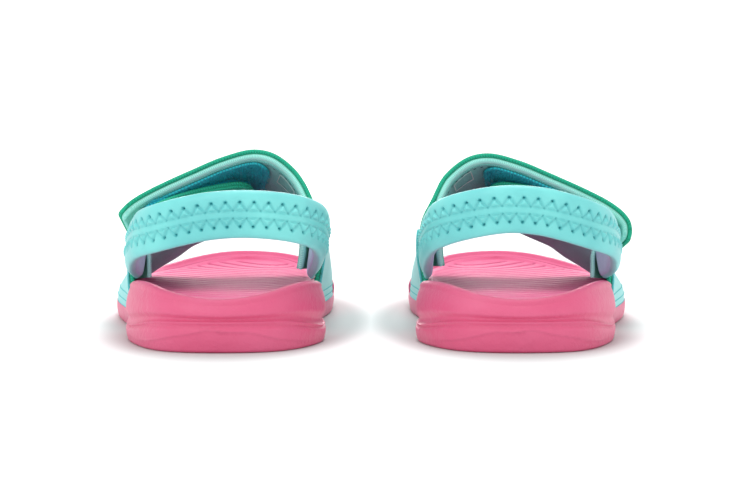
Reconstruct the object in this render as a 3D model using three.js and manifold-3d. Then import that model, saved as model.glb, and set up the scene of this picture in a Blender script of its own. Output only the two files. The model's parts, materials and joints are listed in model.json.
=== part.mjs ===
// A pair of child's strappy sport sandals: one-piece moulded soles, a wide instep band that closes
// with an over-flap and an under-tab, and an embossed padded heel strap.
// Units are millimetres. +Z is up, +Y runs from heel to toe, +X is the wearer's right.
// Each sandal is built in its own frame: x is positive to the lateral side, y is zero at the heel's back.

import * as THREE from "three";
import { mergeVertices } from "three/addons/utils/BufferGeometryUtils.js";
import Module from "manifold-3d";

const wasm = await Module();
wasm.setup();

// ---- driving dimensions -------------------------------------------------------------------------

// sole
const soleLength = 194;
const heelWidth = 63;
const waistMedial = 27.8;
const waistLateral = 35.2;
const ballMedial = 32.8;
const ballLateral = 45;
const toeWidth = 69;
const footbedHeight = 12.6;
const toeThickness = 10.4;
const toeSpring = 6.4;
const toeSpringStart = 126;
const heelBevel = 1.6;
const edgeRound = 2.8;
const rimInset = 2.9;
const rimWidth = 2.2;
const cupSlope = 7.5;
const heelRimDip = 16.8;
const heelRimTop = 21.8;
const rimFallStart = 8;
const rimFallLength = 85;
const flangeHeight = 4.4;

// pair
const heelSpacing = 94;

// instep band
const bandRear = 66;
const bandFront = 137;
const instepHeight = 60.9;
const frontHeight = 41.8;
const flapReach = 41;
const flapEndRear = 76;
const flapEndFront = 115;
const flapCorner = 7;
const tabReach = 5;
const tabRise = 0.7847;
const tabFrontRise = 0.6442;
const tabTipY = 91;
const liningSeat = 15;

// layers of the band
const overlayThickness = 0.9;
const shellThickness = 1.2;
const foamThickness = 1.2;
const liningThickness = 0.6;
const hookPadThickness = 1;
const loopPadThickness = 1;
const tabLiningThickness = 0.9;
const clearance = 0.3;

// heel strap
const strapHeight = 15;
const strapMiddle = 44.2;
const strapEndMiddle = 30.5;
const strapHalfWidth = 31.2;
const strapBack = 3.4;
const strapCover = 2;
const strapFoam = 1.3;
const strapLining = 0.6;
const strapEntry = 1.6;
const strapMedialInset = 0.3;
const strapLateralInset = 3.25;
const pocketDepth = 4.4;

// ---- small helpers ------------------------------------------------------------------------------

const smooth = (t) => {
  const c = THREE.MathUtils.clamp(t, 0, 1);
  return c * c * (3 - 2 * c);
};

// closed solid through a list of rings of equal point count; both end rings are closed by joining
// each point to the one across, so a ring lists one face forwards and the other face backwards
function ringSolid(rings) {
  const count = rings[0].length;
  const positions = rings.flat().flatMap((p) => [p.x, p.y, p.z]);
  const index = [];
  const quad = (a, b, c, d) => index.push(a, b, c, a, c, d);
  for (let r = 0; r + 1 < rings.length; r++) {
    for (let k = 0; k < count; k++) {
      const next = (k + 1) % count;
      quad(r * count + k, r * count + next, (r + 1) * count + next, (r + 1) * count + k);
    }
  }
  const top = (rings.length - 1) * count;
  for (let k = 0; k < count / 2 - 1; k++) {
    const across = count - 1 - k;
    quad(k, across, across - 1, k + 1);
    quad(top + k, top + k + 1, top + across - 1, top + across);
  }
  const geometry = new THREE.BufferGeometry();
  geometry.setAttribute("position", new THREE.Float32BufferAttribute(positions, 3));
  geometry.setIndex(index);
  return facingOut(geometry);
}

// turns the faces round when the enclosed volume comes out negative
function facingOut(geometry) {
  const index = geometry.index.array;
  const p = geometry.attributes.position;
  const corner = (i) => new THREE.Vector3().fromBufferAttribute(p, i);
  let volume = 0;
  for (let i = 0; i < index.length; i += 3) {
    const [a, b, c] = [corner(index[i]), corner(index[i + 1]), corner(index[i + 2])];
    volume += a.dot(b.cross(c));
  }
  if (volume < 0) {
    for (let i = 0; i < index.length; i += 3) {
      [index[i + 1], index[i + 2]] = [index[i + 2], index[i + 1]];
    }
  }
  return geometry;
}

function toManifold(geometry) {
  const merged = mergeVertices(geometry, 1e-4);
  return new wasm.Manifold(
    new wasm.Mesh({
      numProp: 3,
      vertProperties: new Float32Array(merged.attributes.position.array),
      triVerts: new Uint32Array(merged.index.array),
    }),
  );
}

function fromManifold(solid) {
  const mesh = solid.getMesh();
  const geometry = new THREE.BufferGeometry();
  geometry.setAttribute("position", new THREE.BufferAttribute(mesh.vertProperties.slice(), 3));
  geometry.setIndex(new THREE.BufferAttribute(mesh.triVerts.slice(), 1));
  return geometry;
}

// ---- sole ---------------------------------------------------------------------------------------

const heelHalf = heelWidth / 2;
const toeHalf = toeWidth / 2;

// plan outline, anticlockwise from the heel's back; y is a share of the length
const outline = new THREE.CatmullRomCurve3(
  [
    [0, 0],
    [0.6 * heelHalf, 0.027],
    [heelHalf, 0.155],
    [waistLateral, 0.35],
    [ballLateral, 0.61],
    [toeHalf + 3.5, 0.83],
    [0.53 * toeHalf, 0.972],
    [2, 1],
    [-0.53 * toeHalf, 0.962],
    [4 - toeHalf, 0.835],
    [-ballMedial, 0.66],
    [-waistMedial, 0.4],
    [-heelHalf, 0.155],
    [-0.6 * heelHalf, 0.027],
  ].map(([x, share]) => new THREE.Vector3(x, share * soleLength, 0)),
  true,
  "centripetal",
);

const outlineSteps = 60;
const outlinePoints = outline.getSpacedPoints(outlineSteps).slice(0, outlineSteps);
const outlineNormals = outlinePoints.map((point, k) => {
  const before = outlinePoints[(k + outlineSteps - 1) % outlineSteps];
  const after = outlinePoints[(k + 1) % outlineSteps];
  const along = new THREE.Vector3().subVectors(after, before).normalize();
  return new THREE.Vector3(-along.y, along.x, 0);
});

// x of the outline at a given y, on the lateral (1) or medial (-1) side
function edgeAt(y, side) {
  let best = null;
  for (let k = 0; k < outlineSteps; k++) {
    const [a, b] = [outlinePoints[k], outlinePoints[(k + 1) % outlineSteps]];
    if ((a.y - y) * (b.y - y) <= 0 && a.y !== b.y) {
      const x = THREE.MathUtils.lerp(a.x, b.x, (y - a.y) / (b.y - a.y));
      if (best === null || side * x > side * best) best = x;
    }
  }
  return best;
}

const liftAt = (y) => {
  const toe = Math.max(0, (y - toeSpringStart) / (soleLength - toeSpringStart));
  const heel = Math.max(0, 1 - y / 9);
  return toeSpring * toe ** 1.7 + heelBevel * heel ** 2;
};

const toeTop = (y) => toeThickness + (y > toeSpringStart ? liftAt(y) : 0);
const footbedAt = (y) => Math.max(footbedHeight, toeTop(y) - 1);

const rimAt = (y) => {
  const cup = heelRimDip + (heelRimTop - heelRimDip) * (1 - Math.exp(-y / cupSlope));
  const toe = toeTop(y) + 0.9;
  const fall = smooth((y - rimFallStart) / rimFallLength);
  return THREE.MathUtils.lerp(cup, Math.max(toe, footbedHeight + 0.6), fall);
};

// one level of the sole: every outline point moved inwards by inset, at the height heightAt(y)
function soleRing(inset, heightAt) {
  return outlinePoints.map((point, k) => {
    const normal = outlineNormals[k];
    const x = point.x + normal.x * inset;
    const y = point.y + normal.y * inset;
    return new THREE.Vector3(x, y, heightAt(point.y));
  });
}

function soleBody() {
  const mid = (y) => THREE.MathUtils.lerp(liftAt(y) + flangeHeight, rimAt(y), 0.35);
  return ringSolid([
    soleRing(edgeRound + 1.2, (y) => liftAt(y)),
    soleRing(1.1, (y) => liftAt(y) + 1),
    soleRing(0.3, (y) => liftAt(y) + edgeRound),
    soleRing(0, mid),
    soleRing(rimInset / 2, (y) => rimAt(y) - 1.6),
    soleRing(rimInset, rimAt),
    soleRing(rimInset + rimWidth, (y) => rimAt(y) - 0.5),
    soleRing(rimInset + rimWidth + 5, (y) => footbedAt(y)),
  ]);
}

// ---- instep band --------------------------------------------------------------------------------

// a curved sheet between a rear and a front edge curve. at(u, v, offset) is the point a share u from
// the sole to the free end and a share v from rear to front, moved out along the normal by offset.
// Below followEnd the sheet bulges with the sole's outline between its two edges
class Sheet {
  constructor(rearPoints, frontPoints, side, followEnd) {
    const curve = (points) => new THREE.CatmullRomCurve3(points, false, "centripetal");
    this.rear = curve(rearPoints);
    this.front = curve(frontPoints);
    this.side = side;
    this.followEnd = followEnd;
  }

  surface(u, v) {
    const share = THREE.MathUtils.clamp(u, 0, 1);
    const point = this.rear.getPointAt(share).lerp(this.front.getPointAt(share), v);
    const straight = THREE.MathUtils.lerp(wallEdge(bandRear, this.side), wallEdge(bandFront, this.side), v);
    const rootY = THREE.MathUtils.lerp(bandRear, bandFront, v);
    point.x += (wallEdge(rootY, this.side) - straight) * (1 - smooth(share / this.followEnd));
    return point;
  }

  normal(u, v) {
    const step = 0.01;
    const u0 = Math.max(0, u - step);
    const u1 = Math.min(1, u + step);
    const along = this.surface(u1, v).sub(this.surface(u0, v));
    const across = this.surface(u, Math.min(1, v + step)).sub(this.surface(u, Math.max(0, v - step)));
    return along.cross(across).normalize().multiplyScalar(-this.side);
  }

  at(u, v, offset) {
    return this.surface(u, v).addScaledVector(this.normal(u, v), offset);
  }
}

// a layer of a sheet: reach gives the rear and front limits of v at each u, outer and inner the
// offsets of its two faces
function sheetLayer(sheet, stations, rows, reach, outer, inner) {
  return ringSolid(
    stations.map((u) => {
      const [from, to] = reach(u);
      const ring = [];
      for (let j = 0; j <= rows; j++) {
        const v = THREE.MathUtils.lerp(from, to, j / rows);
        ring.push(sheet.at(u, v, outer(u, v)));
      }
      for (let j = rows; j >= 0; j--) {
        const v = THREE.MathUtils.lerp(from, to, j / rows);
        ring.push(sheet.at(u, v, inner(u, v)));
      }
      return ring;
    }),
  );
}

const evenStations = (from, to, count) =>
  Array.from({ length: count + 1 }, (_, i) => THREE.MathUtils.lerp(from, to, i / count));

// stations that crowd towards a rounded end
const roundStations = (from, to, count) =>
  Array.from({ length: count + 1 }, (_, i) => from + (to - from) * Math.sin((Math.PI / 2) * (i / count)));

// margin of v at station u, for an end at u = end with corners of the given radius
function cornerMargin(u, end, length, radius, width) {
  const left = Math.max(0, end - u) * length;
  if (left >= radius) return 0;
  return (radius - Math.sqrt(radius ** 2 - (radius - left) ** 2)) / width;
}

// where the fixed quarter of each strap ends and its moving part begins, as a share of the strap
const flapSplit = 0.33;
const tabSplit = 0.4;

const rootHeight = flangeHeight + clearance;
const rootInset = 0.2;
const wallEdge = (y, side) => edgeAt(y, side) - side * rootInset;

// edge curve of the band from [share across, share of height, y] rows; across runs from the root
// edge of the sole to reach, and height from the root up to the given top
function bandEdge(rows, side, rootY, reach, top) {
  const root = wallEdge(rootY, side);
  return rows.map(([across, rise, y]) => {
    const x = THREE.MathUtils.lerp(root, reach, across);
    const z = THREE.MathUtils.lerp(rootHeight + liftAt(rootY), top, rise);
    return new THREE.Vector3(x, y, z);
  });
}

// the tab's heights are a share of the flap's, so the two stay clear of each other
const tabTop = (flapTop, share) => THREE.MathUtils.lerp(rootHeight, flapTop, share);

const apexRear = bandRear + 14;
const flapSheet = new Sheet(
  bandEdge(
    [
      [0, 0, bandRear],
      [-0.027, 0.2, bandRear - 1],
      [-0.05, 0.42, bandRear - 1],
      [-0.035, 0.6, bandRear + 1],
      [0.025, 0.74, bandRear + 5],
      [0.105, 0.88, bandRear + 10],
      [0.21, 0.976, apexRear - 2],
      [0.32, 1, apexRear],
      [0.47, 0.955, apexRear - 0.5],
      [0.63, 0.873, apexRear - 1.5],
      [0.81, 0.773, apexRear - 3],
      [1, 0.63, flapEndRear],
    ],
    -1,
    bandRear,
    flapReach,
    instepHeight,
  ),
  bandEdge(
    [
      [0, 0, bandFront],
      [0.02, 0.28, bandFront],
      [0.075, 0.53, bandFront - 1],
      [0.145, 0.75, bandFront - 2],
      [0.235, 0.91, bandFront - 4],
      [0.33, 0.985, bandFront - 6],
      [0.43, 1, bandFront - 8],
      [0.55, 0.975, bandFront - 11],
      [0.67, 0.915, bandFront - 14],
      [0.79, 0.84, bandFront - 17],
      [0.89, 0.755, bandFront - 19],
      [1, 0.665, flapEndFront],
    ],
    -1,
    bandFront,
    flapReach,
    frontHeight,
  ),
  -1,
  flapSplit,
);

const tabSheet = new Sheet(
  bandEdge(
    [
      [0, 0, bandRear],
      [-0.025, 0.25, bandRear - 1],
      [-0.03, 0.48, bandRear - 1],
      [-0.005, 0.67, bandRear + 1],
      [0.12, 0.795, bandRear + 6],
      [0.36, 0.895, bandRear + 12],
      [0.68, 0.965, bandRear + 17],
      [1, 1, tabTipY - 3],
    ],
    1,
    bandRear,
    -tabReach,
    tabTop(instepHeight, tabRise),
  ),
  bandEdge(
    [
      [0, 0, bandFront],
      [0.02, 0.24, bandFront],
      [0.13, 0.53, bandFront - 1],
      [0.3, 0.74, bandFront - 3],
      [0.48, 0.87, bandFront - 7],
      [0.66, 0.96, bandFront - 14],
      [0.84, 1.1, bandFront - 26],
      [1, 1.45, tabTipY + 9],
    ],
    1,
    bandFront,
    -tabReach,
    tabTop(frontHeight, tabFrontRise),
  ),
  1,
  tabSplit,
);

const overlayEnd = 0.86;
const splitGap = 0.004;

// fineness of the band's layers
const sheetRows = 4;
const quarterStations = 7;

// how far the base layers sit under the outer face to make room for the overlay
const overlayDepth = (u, split) =>
  (overlayThickness + clearance) * (1 - smooth((u / split - overlayEnd) / (1 - overlayEnd)));

// how far the padding and lining stand in from the shell to pocket the end of the heel strap
const pocketRise = 0.62;
const pocketLength = 0.3;
const pocketAt = (u, v, split) => {
  const along = 1 - smooth((u / split - pocketRise) / (1 - pocketRise));
  return pocketDepth * along * (1 - smooth(v / pocketLength));
};

const foamDepth = shellThickness + clearance;
const liningDepth = foamDepth + foamThickness + clearance;
const layerDepths = {
  shell: [0, shellThickness],
  foam: [foamDepth, foamDepth + foamThickness],
  lining: [liningDepth, liningDepth + liningThickness],
};

// share of the strap at which its edge, mid-width, stands at a given height
function stationAtHeight(sheet, height) {
  const found = evenStations(0, 0.5, 200).find((u) => sheet.surface(u, 0.5).z >= height);
  return found ?? 0.5;
}

// one layer of the fixed quarter of a strap
function quarterLayer(sheet, split, layer) {
  const [outer, inner] = layerDepths[layer];
  const start = layer === "shell" ? 0 : stationAtHeight(sheet, liningSeat);
  const pocket = (u, v) => (layer === "shell" ? 0 : pocketAt(u, v, split));
  const face = (depth) => (u, v) => -depth - overlayDepth(u, split) - pocket(u, v);
  const stations = evenStations(start, split - splitGap, quarterStations);
  return sheetLayer(sheet, stations, sheetRows, () => [0, 1], face(outer), face(inner));
}

function overlayLayer(sheet, split) {
  const end = split * overlayEnd - splitGap;
  const stations = evenStations(0, end, quarterStations);
  return sheetLayer(sheet, stations, sheetRows, () => [0.01, 0.99], () => 0, () => -overlayThickness);
}

// room in the sole for the outer layers, from the flange up, and for the padding and lining
function seatCuts(sheet, split) {
  const margin = (1.4 * clearance) / (bandFront - bandRear);
  const reach = () => [-margin, 1 + margin];
  const [, shellInner] = layerDepths.shell;
  const [, liningInner] = layerDepths.lining;
  const wall = shellInner + overlayThickness + clearance * 2.4;
  const below = (point) => point.setZ(point.z - clearance);
  const outerCut = sheetLayer(sheet, evenStations(0, 0.3, 7), sheetRows, reach, () => 3, () => -wall);
  const seat = stationAtHeight(sheet, liningSeat);
  const full = (u, v) => -liningInner - overlayThickness - clearance * 2.5 - pocketAt(u, v, split);
  const innerCut = sheetLayer(sheet, evenStations(seat, 0.36, 6), sheetRows, reach, () => 3, full);
  for (const cut of [outerCut, innerCut]) {
    const p = cut.attributes.position;
    for (let i = 0; i < p.count; i++) {
      const point = below(new THREE.Vector3().fromBufferAttribute(p, i));
      p.setXYZ(i, point.x, point.y, point.z);
    }
  }
  return toManifold(outerCut).add(toManifold(innerCut));
}

// ---- moving ends of the straps ------------------------------------------------------------------

const flapLength = flapSheet.rear.getLength();
const flapEndWidth = flapEndFront - flapEndRear;
const flapMargin = (inset) => (u) => {
  const m = cornerMargin(u, 1, flapLength, flapCorner, flapEndWidth) + inset / flapEndWidth;
  return [m, 1 - m];
};

function flapLayer(layer) {
  const [outer, inner] = layerDepths[layer];
  const trim = { shell: 0, foam: 2, lining: 1 }[layer];
  const end = 0.999 - trim / flapLength;
  const stations = roundStations(flapSplit, end, 12);
  return sheetLayer(flapSheet, stations, sheetRows, flapMargin(trim * 0.6), () => -outer, () => -inner);
}

function hookPad() {
  const [, lining] = layerDepths.lining;
  const outer = lining + 1.8 * clearance;
  const [from, to] = [0.56, 0.955];
  const reach = (u) => {
    const near = cornerMargin(u, to, flapLength, 9, 34);
    const far = cornerMargin(-u, -from, flapLength, 14, 44);
    const m = Math.max(near, far);
    return [0.1 + m, 0.8 - m];
  };
  const stations = [...roundStations(0.75, from, 5).reverse(), ...roundStations(0.75, to, 5).slice(1)];
  return sheetLayer(flapSheet, stations, sheetRows, reach, () => -outer, () => -outer - hookPadThickness);
}

const tabLength = tabSheet.rear.getLength();
const tabTipRadius = 11;
const tabMargin = (inset, end) => (u) => {
  const width = tabSheet.surface(u, 0).distanceTo(tabSheet.surface(u, 1));
  const span = Math.max(width, 2.05 * tabTipRadius);
  const m = cornerMargin(u, end, tabLength, tabTipRadius, span) + inset / width;
  return [m, 1 - m];
};

function tabLayer(layer) {
  const [outer, inner] = layer === "shell" ? layerDepths.shell : [foamDepth, foamDepth + tabLiningThickness];
  const stations = roundStations(tabSplit, 0.999, 10);
  const margin = tabMargin(layer === "shell" ? 0 : 0.6, 1);
  return sheetLayer(tabSheet, stations, sheetRows, margin, () => -outer, () => -inner);
}

function loopPad() {
  const [from, to] = [0.52, 0.985];
  const reach = (u) => {
    const [m] = tabMargin(2, to)(u);
    return [m, 1 - m];
  };
  const stations = roundStations(from, to, 9);
  return sheetLayer(tabSheet, stations, sheetRows, reach, () => clearance + loopPadThickness, () => clearance);
}

// ---- heel strap ---------------------------------------------------------------------------------

// each end is a half disc about the point where it swings, just behind the band's rear edge
const strapEndY = bandRear - strapEntry - clearance;
const strapPivotY = strapEndY - strapHeight / 2;
const strapEnd = (side, inset) => (wallEdge(bandRear, side) - side * inset) / strapHalfWidth;
const medialEnd = strapEnd(-1, strapMedialInset);
const lateralEnd = strapEnd(1, strapLateralInset);
const strapPath = new THREE.CatmullRomCurve3(
  [
    [medialEnd + 0.01, strapEndY, -0.2],
    [medialEnd, strapPivotY, 0],
    [medialEnd - 0.055, strapPivotY - 9, 0.19],
    [-1.01, strapPivotY - 18, 0.36],
    [-1.03, strapPivotY - 30, 0.55],
    [-0.93, strapBack + 12.5, 0.72],
    [-0.68, strapBack + 4.5, 0.88],
    [-0.2, strapBack, 1],
    [0.3, strapBack + 0.9, 0.93],
    [0.72, strapBack + 6.5, 0.74],
    [0.95, strapBack + 15.5, 0.56],
    [1.03, strapPivotY - 24, 0.37],
    [1.04, strapPivotY - 14, 0.2],
    [lateralEnd + 0.015, strapPivotY - 7, 0.09],
    [lateralEnd, strapPivotY, 0],
    [lateralEnd, strapEndY, -0.2],
  ].map(
    ([share, y, rise]) =>
      new THREE.Vector3(share * strapHalfWidth, y, THREE.MathUtils.lerp(strapEndMiddle, strapMiddle, rise)),
  ),
  false,
  "centripetal",
);

// a layer of the strap between two distances out from the path's middle, inset at its edges
function strapLayer(inner, outer, edgeInset, crown) {
  const up = new THREE.Vector3(0, 0, 1);
  const half = strapHeight / 2 - edgeInset;
  const section = [
    [outer - crown, half],
    [outer, half - 3],
    [outer, 3 - half],
    [outer - crown, -half],
    [inner + crown / 4, -half],
    [inner, 3 - half],
    [inner, half - 3],
    [inner + crown / 4, half],
  ];
  const length = strapPath.getLength();
  const ends = [0.15, 0.9, 2.2, 4.2, 7.5].map((reach) => reach / length);
  const middle = evenStations(0.09, 0.91, 18);
  const stations = [...ends, ...middle, ...ends.map((t) => 1 - t).reverse()];
  const rings = stations.map((t) => {
    const place = strapPath.getPointAt(t);
    const tangent = strapPath.getTangentAt(t);
    const rise = up.clone().addScaledVector(tangent, -up.dot(tangent)).normalize();
    const out = new THREE.Vector3().crossVectors(tangent, rise).normalize();
    const left = Math.max(0, 1 - (Math.min(t, 1 - t) * length * 2) / strapHeight);
    const round = Math.sqrt(1 - left ** 2);
    return section.map(([o, h]) => place.clone().addScaledVector(out, o).addScaledVector(rise, h * round));
  });
  return ringSolid(rings);
}

const strapThickness = strapCover + strapFoam + strapLining + 2 * clearance;
const strapOuter = strapThickness / 2;

// ---- colours ------------------------------------------------------------------------------------

const finish = (color, roughness) => ({ color, roughness, metalness: 0 });
const finishes = {
  sole: finish(0xe5618f, 0.5),
  overlay: finish(0x8fe4de, 0.5),
  shell: finish(0x12a383, 0.85),
  foam: finish(0x9fd9cf, 0.9),
  lining: finish(0x5b8f90, 0.9),
  hook_pad: finish(0x006f7c, 0.9),
  loop_pad: finish(0x00a0b9, 0.95),
  strap_cover: finish(0x86e2de, 0.45),
  strap_lining: finish(0xa5c3d7, 0.85),
};

// ---- one sandal ---------------------------------------------------------------------------------

const seats = seatCuts(flapSheet, flapSplit).add(seatCuts(tabSheet, tabSplit));

const pieces = {
  sole: [fromManifold(toManifold(soleBody()).subtract(seats)), "sole"],
  medial_overlay: [overlayLayer(flapSheet, flapSplit), "overlay"],
  medial_quarter_shell: [quarterLayer(flapSheet, flapSplit, "shell"), "shell"],
  medial_quarter_foam: [quarterLayer(flapSheet, flapSplit, "foam"), "foam"],
  medial_quarter_lining: [quarterLayer(flapSheet, flapSplit, "lining"), "lining"],
  instep_flap_shell: [flapLayer("shell"), "shell"],
  instep_flap_foam: [flapLayer("foam"), "foam"],
  instep_flap_lining: [flapLayer("lining"), "lining"],
  flap_hook_pad: [hookPad(), "hook_pad"],
  lateral_overlay: [overlayLayer(tabSheet, tabSplit), "overlay"],
  lateral_quarter_shell: [quarterLayer(tabSheet, tabSplit, "shell"), "shell"],
  lateral_quarter_foam: [quarterLayer(tabSheet, tabSplit, "foam"), "foam"],
  lateral_quarter_lining: [quarterLayer(tabSheet, tabSplit, "lining"), "lining"],
  lateral_tab_shell: [tabLayer("shell"), "shell"],
  lateral_tab_lining: [tabLayer("lining"), "lining"],
  tab_loop_pad: [loopPad(), "loop_pad"],
  heel_strap_cover: [strapLayer(strapOuter - strapCover, strapOuter, 0, 0.9), "strap_cover"],
  heel_strap_foam: [
    strapLayer(strapLining + clearance - strapOuter, strapOuter - strapCover - clearance, 0.8, 0.2),
    "foam",
  ],
  heel_strap_lining: [strapLayer(-strapOuter, strapLining - strapOuter, 0.5, 0), "strap_lining"],
};

function sandal(sideName, mirror) {
  const group = new THREE.Group();
  for (const [name, [geometry, finishName]] of Object.entries(pieces)) {
    const mesh = new THREE.Mesh(geometry, new THREE.MeshStandardMaterial(finishes[finishName]));
    mesh.name = `${sideName}_${name}`;
    group.add(mesh);
  }
  group.position.set((mirror * heelSpacing) / 2, -soleLength / 2, 0);
  group.scale.x = mirror;
  return group;
}

const pair = new THREE.Group();
pair.add(sandal("right", 1), sandal("left", -1));

export default pair;
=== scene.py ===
import json
import math

import bpy
import numpy as np
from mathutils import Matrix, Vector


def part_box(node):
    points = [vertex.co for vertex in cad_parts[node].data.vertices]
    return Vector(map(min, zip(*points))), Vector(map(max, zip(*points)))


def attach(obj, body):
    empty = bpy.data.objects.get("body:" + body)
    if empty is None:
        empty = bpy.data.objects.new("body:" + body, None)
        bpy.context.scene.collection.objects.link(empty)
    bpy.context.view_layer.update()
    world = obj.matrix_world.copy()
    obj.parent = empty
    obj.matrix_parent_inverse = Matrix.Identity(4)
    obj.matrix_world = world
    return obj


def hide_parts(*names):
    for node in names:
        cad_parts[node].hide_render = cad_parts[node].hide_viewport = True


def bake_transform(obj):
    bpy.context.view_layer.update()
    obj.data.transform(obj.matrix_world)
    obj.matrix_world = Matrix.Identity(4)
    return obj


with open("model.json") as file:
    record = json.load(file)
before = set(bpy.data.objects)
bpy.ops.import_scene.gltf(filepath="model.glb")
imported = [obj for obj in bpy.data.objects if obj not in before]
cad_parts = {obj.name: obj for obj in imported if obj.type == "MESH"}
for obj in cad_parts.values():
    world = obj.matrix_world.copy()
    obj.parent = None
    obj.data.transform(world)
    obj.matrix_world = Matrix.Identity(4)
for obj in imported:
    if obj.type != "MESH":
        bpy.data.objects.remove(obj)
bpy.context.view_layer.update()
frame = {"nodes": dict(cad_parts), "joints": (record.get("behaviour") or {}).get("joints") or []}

print("frame loaded:", len(frame["nodes"]), "nodes")

mm = 0.001
sides = {"right": 1, "left": -1}

# the pair's layout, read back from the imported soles, in millimetres
soleLow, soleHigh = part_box("right_sole")
soleLength = (soleHigh[1] - soleLow[1]) / mm
axisX = 47.0        # each sandal's own centre line, from the plane between them
heelY = soleLow[1] / mm


cameraSpec = {"behind": 684.0, "height": 84.0, "sideways": 1.4, "pitch": 4.06, "lens": 106.2}


def makeCamera(spec):
    data = bpy.data.cameras.new("camera")
    data.lens = spec["lens"]
    data.sensor_width = 36
    camera = bpy.data.objects.new("camera", data)
    camera.location = (spec["sideways"] * mm, (heelY - spec["behind"]) * mm, spec["height"] * mm)
    camera.rotation_euler = (math.radians(90 - spec["pitch"]), 0, 0)
    bpy.context.collection.objects.link(camera)
    bpy.context.scene.camera = camera


makeCamera(cameraSpec)
print("camera placed")


class Value:        # one node output, so that shader maths reads as plain arithmetic
    def __init__(self, maker, socket):
        self.maker, self.socket = maker, socket

    def calc(self, operation, *others):
        return self.maker.node("ShaderNodeMath", {"operation": operation}, [self, *others])

    def __add__(self, other):
        return self.calc("ADD", other)

    __radd__ = __add__

    def __mul__(self, other):
        return self.calc("MULTIPLY", other)

    __rmul__ = __mul__

    def __sub__(self, other):
        return self.calc("SUBTRACT", other)

    def __rsub__(self, other):
        return self.maker.node("ShaderNodeMath", {"operation": "SUBTRACT"}, [other, self])

    def __truediv__(self, other):
        return self.calc("DIVIDE", other)

    def band(self, low, high):        # eased 0 to 1 between two values
        settings = {"interpolation_type": "SMOOTHSTEP"}
        inputs = {"Value": self, "From Min": low, "From Max": high}
        return self.maker.node("ShaderNodeMapRange", settings, inputs)


class Maker:        # adds nodes to one tree
    def __init__(self, tree):
        self.tree = tree

    def node(self, kind, settings=None, inputs=None, output=0):
        made = self.tree.nodes.new(kind)
        for name, value in (settings or {}).items():
            setattr(made, name, value)
        pairs = inputs.items() if isinstance(inputs, dict) else enumerate(inputs or [])
        for key, value in pairs:
            self.feed(made.inputs[key], value)
        return Value(self, made.outputs[output])

    def feed(self, socket, value):
        if isinstance(value, Value):
            self.tree.links.new(value.socket, socket)
        elif socket.type == "RGBA" and len(value) == 3:
            socket.default_value = (*value, 1)
        else:
            socket.default_value = value

    def mix(self, factor, a, b):        # colours
        made = self.tree.nodes.new("ShaderNodeMix")
        made.data_type = "RGBA"
        for index, value in ((0, factor), (6, a), (7, b)):
            self.feed(made.inputs[index], value)
        return Value(self, made.outputs[2])


def hexColor(code):        # sRGB hex to scene linear
    parts = [int(code[i:i + 2], 16) / 255 for i in (0, 2, 4)]
    return tuple(p / 12.92 if p <= 0.04045 else ((p + 0.055) / 1.055) ** 2.4 for p in parts)


def newMaterial(name, roughness=0.6, sheen=0.0, coat=0.0, sheenTint=(1, 1, 1), gloss=0.5):
    material = bpy.data.materials.new(name)
    material.use_nodes = True
    maker = Maker(material.node_tree)
    shader = material.node_tree.nodes["Principled BSDF"]
    shader.inputs["Roughness"].default_value = roughness
    shader.inputs["Specular IOR Level"].default_value = gloss
    shader.inputs["Sheen Weight"].default_value = sheen
    shader.inputs["Sheen Roughness"].default_value = 0.45
    shader.inputs["Sheen Tint"].default_value = (*sheenTint, 1)
    shader.inputs["Coat Weight"].default_value = coat
    shader.inputs["Coat Roughness"].default_value = 0.35
    return material, maker, shader


def bump(maker, shader, height, strength, distance):
    made = maker.node("ShaderNodeBump", {}, {"Strength": strength, "Distance": distance, "Height": height})
    maker.feed(shader.inputs["Normal"], made)


def noise(maker, vector, scale, detail=3.0, roughness=0.55):
    inputs = {"Vector": vector, "Scale": scale, "Detail": detail, "Roughness": roughness}
    return maker.node("ShaderNodeTexNoise", {}, inputs)


def objectPlace(maker):
    return maker.node("ShaderNodeTexCoord", {}, {}, "Object")


def clothPlace(maker):        # the piece's own map, one unit to the centimetre
    return maker.node("ShaderNodeUVMap", {"uv_map": "cloth"})


def attribute(maker, name):
    return maker.node("ShaderNodeAttribute", {"attribute_name": name}, {}, "Fac")


def moulded(name, base, shade, light, roughness, pebble, gloss):        # closed-cell foam with a moulded skin
    material, maker, shader = newMaterial(name, roughness, gloss=gloss)
    place = objectPlace(maker)
    cloud = noise(maker, place, 38, 2)
    # painted shade: the "relief" attribute mixes in the shade colour along the sole's grooves and parting
    # line
    groove = attribute(maker, "relief")
    color = maker.mix(cloud.band(0.35, 0.7) * 0.35, hexColor(base), hexColor(light))
    color = maker.mix(groove, color, hexColor(shade))
    maker.feed(shader.inputs["Base Color"], color)
    grain = noise(maker, place, 1150, 2, 0.6)
    lump = noise(maker, place, 420, 2, 0.5)
    maker.feed(shader.inputs["Roughness"], roughness + (lump - 0.5) * 0.16)
    bump(maker, shader, grain * 0.55 + lump, pebble, 0.00035)
    return material


def skin(name, base, dark, roughness, grit=0.0, coat=0.0):        # smooth coated film or cover
    material, maker, shader = newMaterial(name, roughness, coat=coat)
    place = objectPlace(maker)
    cloud = noise(maker, place, 60, 2)
    # painted shade: the "relief" attribute mixes in the dark colour along the strap's emboss grooves and pits
    relief = attribute(maker, "relief")
    color = maker.mix(cloud.band(0.3, 0.75) * 0.25, hexColor(base), hexColor(dark))
    color = maker.mix(relief, color, hexColor(dark))
    maker.feed(shader.inputs["Base Color"], color)
    fine = noise(maker, place, 1900, 2, 0.6)
    if grit:
        cells = maker.node("ShaderNodeTexVoronoi", {}, {"Vector": place, "Scale": 1500.0})
        bump(maker, shader, cells + fine * 0.4, grit, 0.0004)
        maker.feed(shader.inputs["Roughness"], roughness + cells * 0.2)
    else:
        maker.feed(shader.inputs["Roughness"], roughness + (fine - 0.5) * 0.12)
        bump(maker, shader, fine, 0.12, 0.00012)
    return material


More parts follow.
